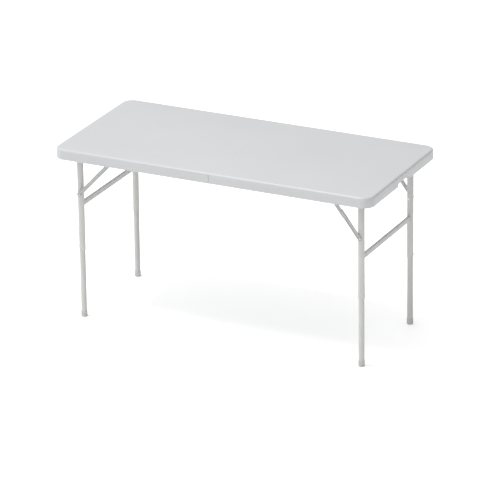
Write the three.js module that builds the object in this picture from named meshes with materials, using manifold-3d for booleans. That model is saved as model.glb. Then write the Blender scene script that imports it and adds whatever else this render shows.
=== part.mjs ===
// A folding picnic table. Its blow-moulded top is in two halves, hinged across the middle, and
// each half carries a steel leg frame that folds flat into the hollow under it.
//
// Millimetres. The origin is on the floor under the middle of the top, X runs along the table,
// Y across it and Z up. The table stands open with its legs down.
//
// Everything at one end is drawn as the right-hand end, with x growing towards the end of the
// table, and the left-hand end is the same group turned half a turn about Z.

import Module from 'manifold-3d';
import * as THREE from 'three';
import { mergeVertices } from 'three/addons/utils/BufferGeometryUtils.js';

const wasm = await Module();
wasm.setup();

// Whole table
const LENGTH = 1381;
const WIDTH = 643;
const HEIGHT = 740;
const GAP = 0.3; // clearance between pieces that touch
const CUT = 1; // how far a cutting tool runs past the face it cuts

// Top halves
const RIM_DEPTH = 44;
const RIM_WALL = 25;
const DECK_THICKNESS = 12;
const CORNER_RADIUS = 46;
const EDGE_RADIUS = 8;
const SEAM_GAP = 1;
const SEAM_WALL = 22;
const SEAM_WALL_DEPTH = 22;
const SEAM_WALL_HALF_WIDTH = 258;
const GRIP_WIDTH = 106;
const GRIP_DEPTH = 14;
const GRIP_RADIUS = 9;

// Side rails under the long edges of the top
const RAIL_INNER_Y = 274;
const RAIL_WIDTH = 20;
const RAIL_HEIGHT = 28;
const RAIL_WALL = 1.5;
const RAIL_START = 12;
const RAIL_END = 632;

// Leg frames
const LEG_X = 614;
const LEG_Y = 234;
const LEG_PIVOT_Z = 713;
const UPPER_TUBE_RADIUS = 13;
const UPPER_TUBE_END_Z = 288;
const LOWER_TUBE_RADIUS = 11.6;
const LOWER_TUBE_TOP_Z = 348;
const LEG_TUBE_WALL = 1.1;
const LEG_TRAVEL = 170;
const PIVOT_TUBE_RADIUS = 8;
const PIVOT_TUBE_WALL = 1.5;
const PIVOT_TUBE_HALF_LENGTH = 285;
const BUSH_RADIUS = 10;
const BUSH_FLANGE_RADIUS = 13;
const BUSH_FLANGE = 3.3;
const BUSH_DEPTH = 6;
const CROSSBAR_HEIGHT = 24;
const CROSSBAR_THICKNESS = 10;
const CROSSBAR_WALL = 1.5;
const CROSSBAR_ROUNDING = 4.5;
const FOOT_RADIUS = 13.1;
const FOOT_HEIGHT = 25;
const FOOT_FLOOR = 3;
const FOOT_CHAMFER = 1.5;
const BUTTON_Z = 302;
const BUTTON_RADIUS = 3.2;
const BUTTON_INNER_END = 10.3;
const BUTTON_STEP = 13.6;
const BUTTON_TIP = 16.2;
const BUTTON_TIP_RADIUS = 1.9;

// Folding braces. Each runs from the leg to the rail in two links that meet at a knee. With the
// leg folded, both links lie along the rail and the knee points to the leg's pivot.
const LINK_TAIL = 25; // how far the rail link runs past the knee
const LEG_LINK_RADIUS = 8.2;
const LEG_LINK_Y = 247.6;
const LEG_LINK_DEPTH = 4.5;
const LEG_LINK_WALL = 1.5;
const RAIL_LINK_RADIUS = 8.6;
const RAIL_LINK_Y = 252.5;
const RAIL_LINK_DEPTH = 3;
const BOLT_RADIUS = 3;
const BOLT_HEAD_RADIUS = 5.5;
const BOLT_HEAD = 2.5;
const RIVET_HEAD = 2;

// The two leg frames differ: their crossbars and braces sit at different heights, so that the
// frames clear each other when the table is shut. The brace meets the leg a distance below the
// leg's pivot and the rail a distance inwards of it.
const ENDS = {
  left: { crossbarZ: 484, downLeg: 183, alongRail: 173 },
  right: { crossbarZ: 457, downLeg: 173, alongRail: 130 },
};

// Middle hinges, one beside each pair of rails
const HINGE_Z = 692;
const KNUCKLE_RADIUS = 14;
const HINGE_PLATE = 3.2;
const HINGE_PLATE_END = 70;
const HINGE_PLATE_LOW_Z = 702;
const HINGE_PLATE_HIGH_Z = 724;
const HINGE_PAD_START = 32;
const HINGE_PIN_RADIUS = 5;
const HINGE_HEAD_RADIUS = 8.5;
const HINGE_HEAD = 2.6;

// Values that follow from the ones above
const RIM_BOTTOM_Z = HEIGHT - RIM_DEPTH;
const DECK_BOTTOM_Z = HEIGHT - DECK_THICKNESS;
const RAIL_TOP_Z = DECK_BOTTOM_Z - GAP;
const RAIL_BOTTOM_Z = RAIL_TOP_Z - RAIL_HEIGHT;
const RAIL_HOLLOW_Y = RAIL_INNER_Y + RAIL_WALL;
const UPPER_BORE = UPPER_TUBE_RADIUS - LEG_TUBE_WALL;
const LOWER_BORE = LOWER_TUBE_RADIUS - LEG_TUBE_WALL;
const NEAR_PLATE_Y = RAIL_INNER_Y - GAP - HINGE_PLATE;
const FAR_PLATE_Y = NEAR_PLATE_Y - 2 * GAP - HINGE_PLATE;
const LEG_LINK_WEB_Y = LEG_LINK_Y + LEG_LINK_WALL;
const RAIL_LINK_FAR_Y = RAIL_LINK_Y + RAIL_LINK_DEPTH;

// Smoothness of round pieces. Bolts, pins and their holes take fewer sides than the tubes do.
// An arc in an outline is drawn with twice the number given here.
const SIDES = 20;
const SMALL_SIDES = 12;
const SMALL_RADIUS = 7.5;
const ARC = 5;

const LOOKS = {
  top: { color: 0xd9dbdc, roughness: 0.6, metalness: 0 },
  leg: { color: 0xc9cac6, roughness: 0.42, metalness: 0.1 },
  rail: { color: 0xc4c6c4, roughness: 0.45, metalness: 0.1 },
  brace: { color: 0xbfc1c0, roughness: 0.4, metalness: 0.3 },
  zinc: { color: 0xa9acae, roughness: 0.35, metalness: 0.9 },
  plastic: { color: 0xc6c8c6, roughness: 0.65, metalness: 0 },
};

// ---------------------------------------------------------------- solids

function solid(geometry) {
  const bare = geometry.clone();
  bare.deleteAttribute('normal');
  bare.deleteAttribute('uv');
  const merged = mergeVertices(bare);
  const mesh = new wasm.Mesh({
    numProp: 3,
    vertProperties: new Float32Array(merged.attributes.position.array),
    triVerts: new Uint32Array(merged.index.array),
  });
  return new wasm.Manifold(mesh);
}

function join(first, ...others) {
  return others.reduce((sum, other) => sum.add(solid(other)), solid(first));
}

function cut(body, ...tools) {
  return tools.reduce((rest, tool) => rest.subtract(solid(tool)), body);
}

function piece(name, shape, look) {
  const mesh = shape.getMesh();
  const geometry = new THREE.BufferGeometry();
  geometry.setAttribute('position', new THREE.BufferAttribute(mesh.vertProperties, 3));
  geometry.setIndex(new THREE.BufferAttribute(mesh.triVerts, 1));
  const flat = geometry.toNonIndexed();
  flat.computeVertexNormals();
  const part = new THREE.Mesh(flat, new THREE.MeshStandardMaterial(look));
  part.name = name;
  return part;
}

// ---------------------------------------------------------------- basic shapes

function box([xLow, xHigh], [yLow, yHigh], [zLow, zHigh]) {
  const geometry = new THREE.BoxGeometry(xHigh - xLow, yHigh - yLow, zHigh - zLow);
  geometry.translate((xLow + xHigh) / 2, (yLow + yHigh) / 2, (zLow + zHigh) / 2);
  return geometry;
}

// A round bar, or a cone when the two radii differ, along Z.
function bar(radius, low, high, topRadius = radius) {
  const sides = radius < SMALL_RADIUS ? SMALL_SIDES : SIDES;
  const geometry = new THREE.CylinderGeometry(topRadius, radius, high - low, sides);
  geometry.rotateX(Math.PI / 2);
  geometry.translate(0, 0, (low + high) / 2);
  return geometry;
}

// Lays a piece drawn along +Z along +Y (side 1) or along -Y (side -1).
function sideways(geometry, side = 1) {
  return geometry.rotateX(-side * Math.PI / 2);
}

// Lays a piece drawn along +Z along +X.
function lengthways(geometry) {
  return geometry.rotateY(Math.PI / 2);
}

// An outline drawn in X and Z, thickened along Y.
function plate(shape, [yLow, yHigh]) {
  const settings = { depth: yHigh - yLow, bevelEnabled: false, curveSegments: ARC };
  const geometry = new THREE.ExtrudeGeometry(shape, settings);
  geometry.rotateX(Math.PI / 2);
  geometry.translate(0, yHigh, 0);
  return geometry;
}

// An outline drawn in Y and Z, thickened along X.
function profile(shape, [xLow, xHigh]) {
  const settings = { depth: xHigh - xLow, bevelEnabled: false, curveSegments: ARC };
  const geometry = new THREE.ExtrudeGeometry(shape, settings);
  geometry.rotateX(Math.PI / 2);
  geometry.rotateZ(Math.PI / 2);
  geometry.translate(xLow, 0, 0);
  return geometry;
}

function rectangle(xLow, xHigh, yLow, yHigh, radius = 0) {
  const shape = new THREE.Shape();
  shape.moveTo(xLow + radius, yLow);
  shape.lineTo(xHigh - radius, yLow);
  if (radius) shape.absarc(xHigh - radius, yLow + radius, radius, -Math.PI / 2, 0);
  shape.lineTo(xHigh, yHigh - radius);
  if (radius) shape.absarc(xHigh - radius, yHigh - radius, radius, 0, Math.PI / 2);
  shape.lineTo(xLow + radius, yHigh);
  if (radius) shape.absarc(xLow + radius, yHigh - radius, radius, Math.PI / 2, Math.PI);
  shape.lineTo(xLow, yLow + radius);
  if (radius) shape.absarc(xLow + radius, yLow + radius, radius, Math.PI, Math.PI * 1.5);
  return shape;
}

function rectangularTube(width, height, wall, radius = 0) {
  const x = width / 2;
  const y = height / 2;
  const shape = rectangle(-x, x, -y, y, radius);
  const hollow = rectangle(wall - x, x - wall, wall - y, y - wall, Math.max(radius - wall, 0));
  shape.holes.push(hollow);
  return shape;
}

// A bar with round ends that runs along x from 0, turned by an angle about its first end.
function linkOutline(length, radius) {
  const shape = new THREE.Shape();
  shape.absarc(0, 0, radius, Math.PI / 2, Math.PI * 1.5);
  shape.absarc(length, 0, radius, -Math.PI / 2, Math.PI / 2);
  return shape;
}

function tiltLink(geometry, angle) {
  return geometry.rotateY(-angle);
}

function tube(radius, bore, low, high) {
  return cut(solid(bar(radius, low, high)), bar(bore, low - CUT, high + CUT));
}

// The stretch of Y between two distances from the middle of the table, on one side of it.
function across(side, near, far) {
  return side > 0 ? [near, far] : [-far, -near];
}

// ---------------------------------------------------------------- top

function topHalf(name, hasGrip) {
  const inset = 2 * EDGE_RADIUS;
  const outline = rectangle(
    -(LENGTH - inset) / 2, (LENGTH - inset) / 2,
    -(WIDTH - inset) / 2, (WIDTH - inset) / 2,
    CORNER_RADIUS - EDGE_RADIUS,
  );
  const slab = new THREE.ExtrudeGeometry(outline, {
    depth: RIM_DEPTH,
    bevelEnabled: true,
    bevelSize: EDGE_RADIUS,
    bevelThickness: EDGE_RADIUS,
    bevelSegments: ARC,
    curveSegments: ARC,
  });
  slab.translate(0, 0, HEIGHT - RIM_DEPTH - EDGE_RADIUS);
  const half = box([SEAM_GAP / 2, LENGTH], [-WIDTH, WIDTH], [RIM_BOTTOM_Z, HEIGHT + CUT]);

  const hollowOutline = rectangle(
    -LENGTH / 2, LENGTH / 2 - RIM_WALL,
    -WIDTH / 2 + RIM_WALL, WIDTH / 2 - RIM_WALL,
    CORNER_RADIUS - RIM_WALL,
  );
  const hollow = new THREE.ExtrudeGeometry(hollowOutline, {
    depth: RIM_DEPTH - DECK_THICKNESS + CUT,
    bevelEnabled: false,
    curveSegments: ARC,
  });
  hollow.translate(0, 0, RIM_BOTTOM_Z - CUT);
  const seamWall = box(
    [-CUT, SEAM_WALL],
    [-SEAM_WALL_HALF_WIDTH, SEAM_WALL_HALF_WIDTH],
    [DECK_BOTTOM_Z - SEAM_WALL_DEPTH, DECK_BOTTOM_Z + CUT],
  );
  const recess = cut(solid(hollow), seamWall);
  let body = solid(slab).intersect(solid(half)).subtract(recess);
  if (hasGrip) body = cut(body, gripTool());
  return piece(name, body, LOOKS.top);
}

// The hand grip is a notch in the lower edge of the end rim, with rounded upper corners.
function gripTool() {
  const half = GRIP_WIDTH / 2;
  const ceiling = RIM_BOTTOM_Z + GRIP_DEPTH;
  const shape = rectangle(-half, half, RIM_BOTTOM_Z - 2 * GRIP_RADIUS, ceiling, GRIP_RADIUS);
  return profile(shape, [LENGTH / 2 - RIM_WALL - CUT, LENGTH / 2 + CUT]);
}

function rail(name, side, alongRail) {
  const section = profile(rectangularTube(RAIL_WIDTH, RAIL_HEIGHT, RAIL_WALL), [RAIL_START, RAIL_END]);
  section.translate(0, side * (RAIL_INNER_Y + RAIL_WIDTH / 2), (RAIL_TOP_Z + RAIL_BOTTOM_Z) / 2);
  const wall = [RAIL_INNER_Y - CUT, RAIL_HOLLOW_Y + CUT];
  const bushHole = sideways(bar(BUSH_RADIUS + GAP, ...wall), side);
  bushHole.translate(LEG_X, 0, LEG_PIVOT_Z);
  const pinHole = sideways(bar(BOLT_RADIUS + GAP, ...wall), side);
  pinHole.translate(LEG_X - alongRail, 0, LEG_PIVOT_Z);
  return piece(name, cut(solid(section), bushHole, pinHole), LOOKS.rail);
}

// A flanged plastic bush, drawn about the leg's pivot.
function pivotBush(name, side) {
  const flange = bar(BUSH_FLANGE_RADIUS, RAIL_INNER_Y - GAP - BUSH_FLANGE, RAIL_INNER_Y - GAP);
  const sleeve = bar(BUSH_RADIUS, RAIL_INNER_Y - GAP - CUT, RAIL_INNER_Y + BUSH_DEPTH);
  const bore = bar(PIVOT_TUBE_RADIUS + GAP, RAIL_INNER_Y - BUSH_DEPTH, RAIL_INNER_Y + 2 * BUSH_DEPTH);
  const bush = cut(join(sideways(flange, side), sideways(sleeve, side)), sideways(bore, side));
  return piece(name, bush, LOOKS.plastic);
}

// ---------------------------------------------------------------- middle hinges

// A strap that runs from the rail down to the hinge pin. The nearer strap lies against the rail.
// The farther one passes it on the inside, and has a pad that fills the step back to the rail.
function hingePlate(name, side, nearRail) {
  const slope = Math.tan(Math.PI / 6);
  const dx = KNUCKLE_RADIUS * Math.sin(Math.PI / 6);
  const dz = KNUCKLE_RADIUS * Math.cos(Math.PI / 6);
  const lowerBend = dx + (HINGE_PLATE_LOW_Z - HINGE_Z + dz) / slope;
  const upperBend = -dx + (HINGE_PLATE_HIGH_Z - HINGE_Z - dz) / slope;
  const shape = new THREE.Shape();
  shape.moveTo(HINGE_PLATE_END, HINGE_PLATE_LOW_Z);
  shape.lineTo(HINGE_PLATE_END, HINGE_PLATE_HIGH_Z);
  shape.lineTo(upperBend, HINGE_PLATE_HIGH_Z);
  shape.absarc(0, HINGE_Z, KNUCKLE_RADIUS, Math.PI * 2 / 3, Math.PI * 5 / 3);
  shape.lineTo(lowerBend, HINGE_PLATE_LOW_Z);
  const inner = nearRail ? NEAR_PLATE_Y : FAR_PLATE_Y;
  const strap = plate(shape, across(side, inner, inner + HINGE_PLATE));
  const hole = sideways(bar(HINGE_PIN_RADIUS + GAP, inner - CUT, inner + HINGE_PLATE + CUT), side);
  hole.translate(0, 0, HINGE_Z);
  let body = cut(solid(strap), hole);
  if (!nearRail) {
    const pad = box(
      [HINGE_PAD_START, HINGE_PLATE_END],
      across(side, FAR_PLATE_Y + HINGE_PLATE / 2, RAIL_INNER_Y - GAP),
      [HINGE_PLATE_LOW_Z, HINGE_PLATE_HIGH_Z],
    );
    body = body.add(solid(pad));
  }
  return piece(name, body, LOOKS.zinc);
}

function hingePin(name, side) {
  const shank = bar(HINGE_PIN_RADIUS, FAR_PLATE_Y - GAP - CUT, RAIL_INNER_Y + CUT);
  const innerHead = bar(HINGE_HEAD_RADIUS, FAR_PLATE_Y - GAP - HINGE_HEAD, FAR_PLATE_Y - GAP);
  const outerHead = bar(HINGE_HEAD_RADIUS, RAIL_INNER_Y, RAIL_INNER_Y + HINGE_HEAD);
  const parts = [shank, innerHead, outerHead].map((part) => sideways(part, side));
  return piece(name, join(...parts), LOOKS.zinc);
}

// ---------------------------------------------------------------- leg frames
// These pieces are drawn about the leg's pivot.

function fromPivot(z) {
  return z - LEG_PIVOT_Z;
}

function pivotTube(name) {
  const body = tube(
    PIVOT_TUBE_RADIUS, PIVOT_TUBE_RADIUS - PIVOT_TUBE_WALL,
    -PIVOT_TUBE_HALF_LENGTH, PIVOT_TUBE_HALF_LENGTH,
  );
  const mesh = piece(name, body, LOOKS.leg);
  mesh.rotation.x = -Math.PI / 2;
  return mesh;
}

// The upper leg tube ends in a saddle under the pivot tube that it is welded to.
function upperLeg(name, downLeg) {
  const body = tube(UPPER_TUBE_RADIUS, UPPER_BORE, fromPivot(UPPER_TUBE_END_Z), 0);
  const saddle = sideways(bar(PIVOT_TUBE_RADIUS + GAP, -2 * UPPER_TUBE_RADIUS, 2 * UPPER_TUBE_RADIUS));
  const boltHole = sideways(bar(BOLT_RADIUS + GAP, -2 * UPPER_TUBE_RADIUS, 2 * UPPER_TUBE_RADIUS));
  boltHole.translate(0, 0, -downLeg);
  const buttonHole = lengthways(bar(BUTTON_RADIUS + GAP, 0, 2 * UPPER_TUBE_RADIUS));
  buttonHole.translate(0, 0, fromPivot(BUTTON_Z));
  return piece(name, cut(body, saddle, boltHole, buttonHole), LOOKS.leg);
}

// A flattened tube, shaped at both ends to the leg tubes that it is welded to.
function crossbar(name, z) {
  const section = rectangularTube(
    CROSSBAR_THICKNESS, CROSSBAR_HEIGHT, CROSSBAR_WALL, CROSSBAR_ROUNDING,
  );
  const beam = plate(section, [-LEG_Y, LEG_Y]);
  const reach = [-CROSSBAR_HEIGHT, CROSSBAR_HEIGHT];
  const saddles = [-1, 1].map((side) => {
    return bar(UPPER_TUBE_RADIUS + GAP, ...reach).translate(0, side * LEG_Y, 0);
  });
  const mesh = piece(name, cut(solid(beam), ...saddles), LOOKS.leg);
  mesh.position.z = fromPivot(z);
  return mesh;
}

// The lower tube slides up inside the upper one. A slot in its outer side keeps clear of the
// snap button over the whole travel.
function lowerLeg(name) {
  const body = tube(
    LOWER_TUBE_RADIUS, LOWER_BORE,
    fromPivot(FOOT_FLOOR + GAP), fromPivot(LOWER_TUBE_TOP_Z),
  );
  const reach = BUTTON_RADIUS + 2 * GAP;
  const slot = box(
    [0, 2 * LOWER_TUBE_RADIUS],
    [-reach, reach],
    [fromPivot(BUTTON_Z - LEG_TRAVEL - reach), fromPivot(BUTTON_Z + reach)],
  );
  return piece(name, cut(body, slot), LOOKS.leg);
}

function footCap(name) {
  const chamfer = bar(FOOT_RADIUS - FOOT_CHAMFER, 0, FOOT_CHAMFER, FOOT_RADIUS);
  const wall = bar(FOOT_RADIUS, FOOT_CHAMFER, FOOT_HEIGHT);
  const socket = bar(LOWER_TUBE_RADIUS + GAP, FOOT_FLOOR, FOOT_HEIGHT + CUT);
  const mesh = piece(name, cut(join(chamfer, wall), socket), LOOKS.plastic);
  mesh.position.z = fromPivot(0);
  return mesh;
}

function snapButton(name) {
  const stem = bar(BUTTON_RADIUS, BUTTON_INNER_END, BUTTON_STEP);
  const dome = bar(BUTTON_RADIUS, BUTTON_STEP, BUTTON_TIP, BUTTON_TIP_RADIUS);
  const mesh = piece(name, join(lengthways(stem), lengthways(dome)), LOOKS.zinc);
  mesh.position.z = fromPivot(BUTTON_Z);
  return mesh;
}

// ---------------------------------------------------------------- braces
// Drawn about the leg's pivot too: the leg end hangs below it, the rail end lies inwards of it.

// The lengths of a brace's two links, and the slopes they have when the leg stands. The links
// make one straight line then, and lie one over the other when the leg is folded.
function braceOf({ downLeg, alongRail }) {
  const open = Math.hypot(downLeg, alongRail);
  const folded = downLeg - alongRail;
  const tilt = Math.atan2(downLeg, -alongRail);
  return {
    downLeg,
    alongRail,
    legLink: (open + folded) / 2,
    railLink: (open - folded) / 2,
    legLinkTilt: tilt,
    railLinkTilt: tilt - Math.PI,
  };
}

// A pressed channel, open outwards, from the leg up to the knee.
function legLink(name, side, brace) {
  const outer = linkOutline(brace.legLink, LEG_LINK_RADIUS);
  const inner = linkOutline(brace.legLink, LEG_LINK_RADIUS - LEG_LINK_WALL);
  const far = LEG_LINK_Y + LEG_LINK_DEPTH;
  const body = tiltLink(plate(outer, across(side, LEG_LINK_Y, far)), brace.legLinkTilt);
  const pocket = tiltLink(plate(inner, across(side, LEG_LINK_WEB_Y, far + CUT)), brace.legLinkTilt);
  const holes = [0, brace.legLink].map((along) => {
    const hole = sideways(bar(BOLT_RADIUS + GAP, LEG_LINK_Y - CUT, far), side);
    return tiltLink(hole.translate(along, 0, 0), brace.legLinkTilt);
  });
  const mesh = piece(name, cut(solid(body), pocket, ...holes), LOOKS.brace);
  mesh.position.z = -brace.downLeg;
  return mesh;
}

// A flat bar from the rail down past the knee.
function railLink(name, side, brace) {
  const outline = linkOutline(brace.railLink + LINK_TAIL, RAIL_LINK_RADIUS);
  const flat = plate(outline, across(side, RAIL_LINK_Y, RAIL_LINK_FAR_Y));
  const body = tiltLink(flat, brace.railLinkTilt);
  const holes = [0, brace.railLink].map((along) => {
    const hole = sideways(bar(BOLT_RADIUS + GAP, RAIL_LINK_Y - CUT, RAIL_LINK_FAR_Y + CUT), side);
    return tiltLink(hole.translate(along, 0, 0), brace.railLinkTilt);
  });
  const mesh = piece(name, cut(solid(body), ...holes), LOOKS.brace);
  mesh.position.x = -brace.alongRail;
  return mesh;
}

function legBolt(name, side, brace) {
  const nearFace = LEG_Y - UPPER_TUBE_RADIUS - GAP;
  const headSeat = LEG_LINK_WEB_Y + GAP;
  const shank = bar(BOLT_RADIUS, nearFace - CUT, headSeat + CUT);
  const nut = bar(BOLT_HEAD_RADIUS, nearFace - BOLT_HEAD, nearFace);
  const head = bar(BOLT_HEAD_RADIUS, headSeat, headSeat + BOLT_HEAD);
  const parts = [shank, nut, head].map((part) => sideways(part, side));
  const mesh = piece(name, join(...parts), LOOKS.zinc);
  mesh.position.z = -brace.downLeg;
  return mesh;
}

function railPin(name, side, brace) {
  const collar = bar(BOLT_HEAD_RADIUS, RAIL_LINK_FAR_Y + GAP, RAIL_INNER_Y - GAP);
  const shank = bar(BOLT_RADIUS, RAIL_LINK_Y, RAIL_HOLLOW_Y + GAP + CUT);
  const head = bar(BOLT_HEAD_RADIUS, RAIL_HOLLOW_Y + GAP, RAIL_HOLLOW_Y + GAP + BOLT_HEAD);
  const parts = [shank, collar, head].map((part) => sideways(part, side));
  const mesh = piece(name, join(...parts), LOOKS.zinc);
  mesh.position.x = -brace.alongRail;
  return mesh;
}

// The knee rivet stays in the rail link and stops short of the leg link.
function kneeRivet(name, side, brace) {
  const seat = RAIL_LINK_FAR_Y + GAP;
  const shank = bar(BOLT_RADIUS, RAIL_LINK_Y, seat + CUT);
  const head = bar(BOLT_HEAD_RADIUS, seat, seat + RIVET_HEAD);
  const mesh = piece(name, join(sideways(shank, side), sideways(head, side)), LOOKS.brace);
  mesh.position.x = -brace.alongRail + brace.railLink * Math.cos(brace.railLinkTilt);
  mesh.position.z = brace.railLink * Math.sin(brace.railLinkTilt);
  return mesh;
}

// ---------------------------------------------------------------- assembly

// Front is the side at negative Y, so the turned left-hand end swaps the names of its sides.
function sidesOf(turned) {
  return [-1, 1].map((side) => {
    const isFront = turned ? side > 0 : side < 0;
    return { side, place: isFront ? 'front' : 'rear' };
  });
}

function legFrame(end, turned) {
  const brace = braceOf(ENDS[end]);
  const frame = new THREE.Group();
  frame.position.set(LEG_X, 0, LEG_PIVOT_Z);
  frame.add(pivotTube(`${end}_pivot_tube`));
  frame.add(crossbar(`${end}_crossbar`, ENDS[end].crossbarZ));
  for (const { side, place } of sidesOf(turned)) {
    const leg = new THREE.Group();
    leg.position.y = side * LEG_Y;
    leg.add(upperLeg(`${end}_${place}_upper_leg`, brace.downLeg));
    leg.add(lowerLeg(`${end}_${place}_lower_leg`));
    leg.add(footCap(`${end}_${place}_foot_cap`));
    leg.add(snapButton(`${end}_${place}_snap_button`));
    frame.add(leg);
    frame.add(pivotBush(`${end}_${place}_pivot_bush`, side));
    frame.add(legLink(`${end}_${place}_leg_link`, side, brace));
    frame.add(railLink(`${end}_${place}_rail_link`, side, brace));
    frame.add(legBolt(`${end}_${place}_leg_bolt`, side, brace));
    frame.add(railPin(`${end}_${place}_rail_pin`, side, brace));
    frame.add(kneeRivet(`${end}_${place}_knee_rivet`, side, brace));
  }
  return frame;
}

function tableEnd(end, turned) {
  const group = new THREE.Group();
  group.rotation.z = turned ? Math.PI : 0;
  group.add(topHalf(`${end}_top`, !turned));
  group.add(legFrame(end, turned));
  for (const { side, place } of sidesOf(turned)) {
    group.add(rail(`${end}_${place}_rail`, side, ENDS[end].alongRail));
    group.add(hingePlate(`${end}_${place}_hinge_plate`, side, turned));
  }
  return group;
}

const table = new THREE.Group();
table.name = 'folding_picnic_table';
table.add(tableEnd('left', true));
table.add(tableEnd('right', false));
for (const { side, place } of sidesOf(false)) {
  const pin = hingePin(`${place}_hinge_pin`, side);
  pin.position.z = HINGE_Z;
  table.add(pin);
}

export default table;
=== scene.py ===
"""A folding picnic table: a pale blow-moulded top in two hinged halves on grey steel leg frames."""

import math

import bmesh
import bpy
from mathutils import Matrix, Vector

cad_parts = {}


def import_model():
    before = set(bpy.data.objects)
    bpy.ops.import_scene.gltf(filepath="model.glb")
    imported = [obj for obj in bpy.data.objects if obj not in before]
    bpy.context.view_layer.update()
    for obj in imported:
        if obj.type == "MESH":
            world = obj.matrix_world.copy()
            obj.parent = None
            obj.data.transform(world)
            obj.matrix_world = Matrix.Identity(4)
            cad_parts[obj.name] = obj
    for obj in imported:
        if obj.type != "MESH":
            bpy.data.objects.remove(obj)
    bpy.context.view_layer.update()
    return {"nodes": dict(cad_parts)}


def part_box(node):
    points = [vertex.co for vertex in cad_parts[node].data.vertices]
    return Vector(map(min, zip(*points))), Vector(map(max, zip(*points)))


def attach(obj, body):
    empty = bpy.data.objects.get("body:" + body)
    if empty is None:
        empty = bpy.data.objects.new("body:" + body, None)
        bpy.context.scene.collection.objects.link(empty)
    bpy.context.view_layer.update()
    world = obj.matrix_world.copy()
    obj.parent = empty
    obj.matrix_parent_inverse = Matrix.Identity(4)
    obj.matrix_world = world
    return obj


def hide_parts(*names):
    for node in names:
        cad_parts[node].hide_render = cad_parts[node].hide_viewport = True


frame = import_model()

MM = 0.001
X = Vector((1, 0, 0))
Y = Vector((0, 1, 0))
Z = Vector((0, 0, 1))
ENDS = (("left", -1), ("right", 1))
SIDES = (("front", -1), ("rear", 1))


# ---------------------------------------------------------------- the frame's places

def low(node):
    """The corner of a node's box with the least x, y and z."""
    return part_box(node)[0]


def high(node):
    """The corner of a node's box with the greatest x, y and z."""
    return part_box(node)[1]


def middle(node):
    """The middle of a node's box."""
    return (low(node) + high(node)) / 2


TOP_LOW = low("right_top")
TOP_HIGH = high("right_top")
HALF_LENGTH = TOP_HIGH.x
HALF_WIDTH = TOP_HIGH.y
RIM_BOTTOM = TOP_LOW.z
TOP = TOP_HIGH.z
RIM_WALL = 25 * MM
DECK = 12 * MM
DECK_BOTTOM = TOP - DECK
CORNER_RADIUS = 46 * MM
SEAM_WALL = 22 * MM
SEAM_WALL_HALF_WIDTH = 258 * MM
PIVOT = middle("right_pivot_tube")
LEG_Y = middle("right_rear_upper_leg").y
LEG_RADIUS = high("right_rear_upper_leg").y - LEG_Y
RAIL_FACE = low("right_rear_rail").y


# ---------------------------------------------------------------- mesh helpers

def mesh_of(bm):
    """A mesh from a bmesh, with its faces pointing outwards."""
    bmesh.ops.recalc_face_normals(bm, faces=bm.faces)
    mesh = bpy.data.meshes.new("mesh")
    bm.to_mesh(mesh)
    bm.free()
    return mesh


def loft(loops, closed=False):
    """A closed skin through loops of equally many points. An open loft gets a flat cap at each end."""
    bm = bmesh.new()
    rings = [[bm.verts.new(point) for point in loop] for loop in loops]
    count = len(rings[0])
    pairs = list(zip(rings, rings[1:]))
    if closed:
        pairs.append((rings[-1], rings[0]))
    for ring, following in pairs:
        for i in range(count):
            j = (i + 1) % count
            bm.faces.new((ring[i], ring[j], following[j], following[i]))
    if not closed:
        bm.faces.new(rings[0][::-1])
        bm.faces.new(rings[-1])
    return mesh_of(bm)


def turned(profile, at, axis=Z, closed=False, sides=48):
    """A round piece: (radius, height) pairs turned about an axis through a point."""
    turn = Z.rotation_difference(axis).to_matrix()
    loops = []
    for radius, height in profile:
        ring = []
        for i in range(sides):
            angle = 2 * math.pi * i / sides
            ring.append(at + turn @ Vector((radius * math.cos(angle), radius * math.sin(angle), height)))
        loops.append(ring)
    return loft(loops, closed)


def arc(cx, cy, radius, start, end, steps):
    """Points on an arc, in degrees, both ends included."""
    points = []
    for i in range(steps + 1):
        angle = math.radians(start + (end - start) * i / steps)
        points.append((cx + radius * math.cos(angle), cy + radius * math.sin(angle)))
    return points


def rounded_rectangle(x0, x1, y0, y1, radius, steps=8):
    """A rectangle's outline with round corners."""
    points = arc(x1 - radius, y0 + radius, radius, -90, 0, steps)
    points += arc(x1 - radius, y1 - radius, radius, 0, 90, steps)
    points += arc(x0 + radius, y1 - radius, radius, 90, 180, steps)
    points += arc(x0 + radius, y0 + radius, radius, 180, 270, steps)
    return points


def stadium(length, radius, steps):
    """A bar with round ends from (0, 0) to (length, 0)."""
    return arc(length, 0, radius, -90, 90, steps) + arc(0, 0, radius, 90, 270, steps)


def dome(radius, height):
    """(radius, height) pairs up a dome to a small flat."""
    angles = [math.radians(degrees) for degrees in range(0, 81, 10)]
    return [(radius * math.cos(angle), height * math.sin(angle)) for angle in angles]


def box_mesh(lowest, highest):
    """A box between two corners, used as a cutting tool."""
    corners = [(lowest.x, lowest.y), (highest.x, lowest.y), (highest.x, highest.y), (lowest.x, highest.y)]
    return loft([[(x, y, z) for x, y in corners] for z in (lowest.z, highest.z)])


def joined(meshes):
    """Several meshes as one, without merging them."""
    bm = bmesh.new()
    for mesh in meshes:
        bm.from_mesh(mesh)
        bpy.data.meshes.remove(mesh)
    mesh = bpy.data.meshes.new("mesh")
    bm.to_mesh(mesh)
    bm.free()
    return mesh


def temporary(mesh):
    """A helper object, which is removed once its shape is taken."""
    obj = bpy.data.objects.new("temporary", mesh)
    bpy.context.scene.collection.objects.link(obj)
    return obj


def evaluated(obj):
    """An object's mesh with its modifiers applied."""
    bpy.context.view_layer.update()
    source = obj.evaluated_get(bpy.context.evaluated_depsgraph_get())
    return bpy.data.meshes.new_from_object(source)


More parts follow.
